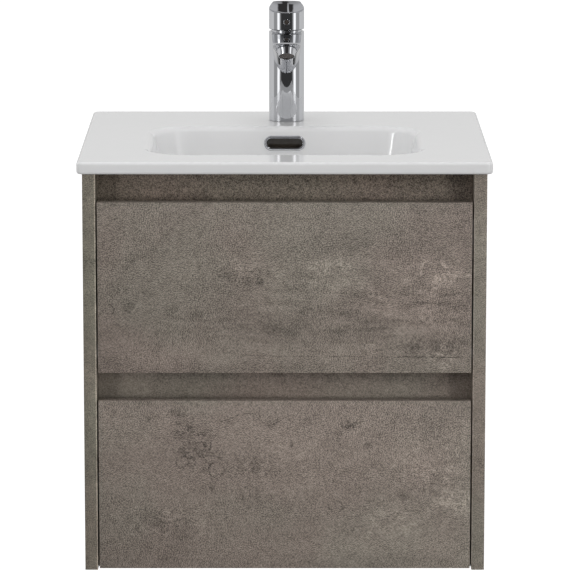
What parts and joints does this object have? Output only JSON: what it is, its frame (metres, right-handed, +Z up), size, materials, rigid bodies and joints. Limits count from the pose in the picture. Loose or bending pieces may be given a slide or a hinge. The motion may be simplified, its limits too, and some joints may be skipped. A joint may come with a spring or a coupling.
{
  "type": "wall-hung bathroom vanity cabinet",
  "caption": "Wall-hung bathroom vanity: drawers with recessed grip rails, ceramic furniture basin with overflow, trap and single-lever mixer.",
  "frame": {"origin": "middle of the steel wall rail's back face, on the wall plane", "axes": "+Y into the wall (the wall is the plane y = 0), +X to the right seen from the front, +Z up; the drawer fronts face -Y"},
  "size_m": [0.514, 0.466, 0.6733],
  "materials": {
    "concrete_laminate": "matt cloudy taupe-grey concrete-look laminate on board",
    "drawer_melamine": "matt light grey melamine on board",
    "glazed_ceramic": "gloss white glaze",
    "chrome": "polished chrome plate",
    "runner_steel": "bright zinc-plated rolled steel",
    "zinc_steel": "zinc-plated steel",
    "white_plastic": "moulded white polypropylene",
    "cartridge_plastic": "moulded grey-white acetal",
    "rubber": "matt black rubber",
    "brass": "turned brass"
  },
  "bodies": {
    "cabinet": {"side_panel_left": "concrete_laminate", "side_panel_right": "concrete_laminate", "bottom_panel": "concrete_laminate", "top_grip_rail": "concrete_laminate", "middle_grip_rail": "concrete_laminate", "rear_top_rail": "concrete_laminate", "rear_bottom_rail": "concrete_laminate", "wall_rail": "zinc_steel", "hanger_bracket_left": "zinc_steel", "hanger_bracket_right": "zinc_steel", "basin": "glazed_ceramic", "overflow_ring": "chrome", "waste_body": "chrome", "waste_gasket": "rubber", "waste_nut": "brass", "trap_inlet_nut": "white_plastic", "trap_inlet_tube": "white_plastic", "trap_body": "white_plastic", "trap_cup": "white_plastic", "trap_outlet_pipe": "white_plastic", "trap_outlet_nut": "white_plastic", "wall_rosette": "chrome", "tap_base_gasket": "rubber", "tap_body": "chrome", "flow_regulator": "chrome", "mixing_cartridge": "cartridge_plastic", "cartridge_ring": "chrome", "tap_stud": "zinc_steel", "tap_clamp_washer": "zinc_steel", "tap_stud_nut": "brass", "upper_runner_cabinet_left": "runner_steel", "upper_runner_cabinet_right": "runner_steel", "lower_runner_cabinet_left": "runner_steel", "lower_runner_cabinet_right": "runner_steel"},
    "upper_drawer": {"upper_drawer_front": "concrete_laminate", "upper_drawer_side_left": "drawer_melamine", "upper_drawer_side_right": "drawer_melamine", "upper_drawer_floor": "drawer_melamine", "upper_drawer_cutout_wall": "drawer_melamine", "upper_drawer_back_left": "drawer_melamine", "upper_drawer_back_right": "drawer_melamine", "upper_runner_drawer_left": "runner_steel", "upper_runner_drawer_right": "runner_steel"},
    "upper_runner_middle": {"upper_runner_middle_left": "runner_steel", "upper_runner_middle_right": "runner_steel"},
    "lower_drawer": {"lower_drawer_front": "concrete_laminate", "lower_drawer_side_left": "drawer_melamine", "lower_drawer_side_right": "drawer_melamine", "lower_drawer_floor": "drawer_melamine", "lower_drawer_back": "drawer_melamine", "lower_runner_drawer_left": "runner_steel", "lower_runner_drawer_right": "runner_steel"},
    "lower_runner_middle": {"lower_runner_middle_left": "runner_steel", "lower_runner_middle_right": "runner_steel"},
    "handle_carrier": {"cartridge_carrier": "cartridge_plastic"},
    "handle": {"tap_handle": "chrome", "cartridge_lever": "brass", "handle_set_screw": "zinc_steel", "handle_indicator": "chrome"},
    "plug": {"waste_plug": "chrome"}
  },
  "joints": [
    {"name": "upper_drawer_slide", "type": "slide", "parent": "cabinet", "child": "upper_drawer", "axis": [0, -1, 0], "range_m": [0, 0.345]},
    {"name": "upper_runner_slide", "type": "slide", "parent": "cabinet", "child": "upper_runner_middle", "axis": [0, -1, 0], "range_m": [0, 0.1725]},
    {"name": "lower_drawer_slide", "type": "slide", "parent": "cabinet", "child": "lower_drawer", "axis": [0, -1, 0], "range_m": [0, 0.345]},
    {"name": "lower_runner_slide", "type": "slide", "parent": "cabinet", "child": "lower_runner_middle", "axis": [0, -1, 0], "range_m": [0, 0.1725]},
    {"name": "handle_swivel", "type": "hinge", "parent": "cabinet", "child": "handle_carrier", "pos_m": [0.0025, -0.0855, 0.219], "axis": [0, 0, 1], "range_deg": [-45, 45]},
    {"name": "handle_lift", "type": "hinge", "parent": "handle_carrier", "child": "handle", "pos_m": [0.0025, -0.0855, 0.22], "axis": [-1, 0, 0], "range_deg": [0, 25]},
    {"name": "waste_plug_lift", "type": "slide", "parent": "cabinet", "child": "plug", "axis": [0, 0, 1], "range_m": [0, 0.008]}
  ],
  "couplings": [
    {"joint": "upper_runner_slide", "follows": "upper_drawer_slide", "ratio": 0.5},
    {"joint": "lower_runner_slide", "follows": "lower_drawer_slide", "ratio": 0.5}
  ]
}
